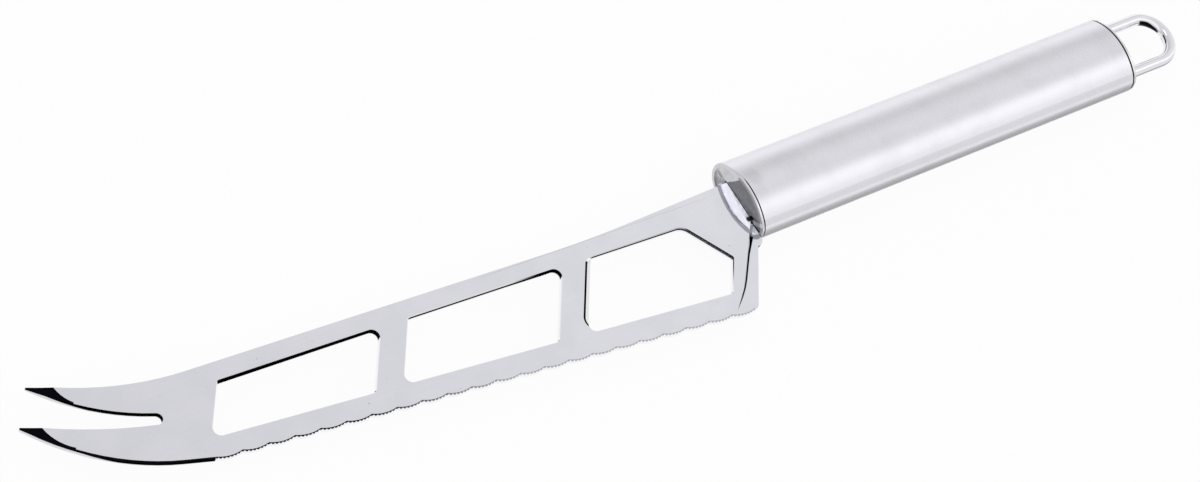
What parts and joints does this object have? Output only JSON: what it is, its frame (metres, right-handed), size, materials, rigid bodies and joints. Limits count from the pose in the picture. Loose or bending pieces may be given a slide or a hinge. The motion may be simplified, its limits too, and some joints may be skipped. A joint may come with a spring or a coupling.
{
  "type": "cheese knife",
  "caption": "Steel cheese knife: pierced, forked blade with a scalloped edge, hollow oval handle and a wire hanging loop.",
  "frame": {"origin": "centre of the footprint of the knife as it lies flat, on the plane that the handle rests on", "axes": "+X along the handle axis from the points to the hanging loop, +Y in the blade's plane from the cutting edge to the spine, +Z square to the blade, up"},
  "size_m": [0.3, 0.0432, 0.0127],
  "materials": {
    "blade_steel": "fine polished stainless steel",
    "cap_steel": "polished stainless steel",
    "handle_steel": "satin stainless steel brushed round the handle",
    "wire_steel": "polished stainless steel wire",
    "weld_metal": "dull weld metal"
  },
  "bodies": {
    "root": {"blade": "blade_steel", "front_cap": "cap_steel", "handle_tube": "handle_steel", "rear_cap": "cap_steel", "hanging_loop": "wire_steel", "tang_weld": "weld_metal", "loop_welds": "weld_metal"}
  },
  "joints": []
}
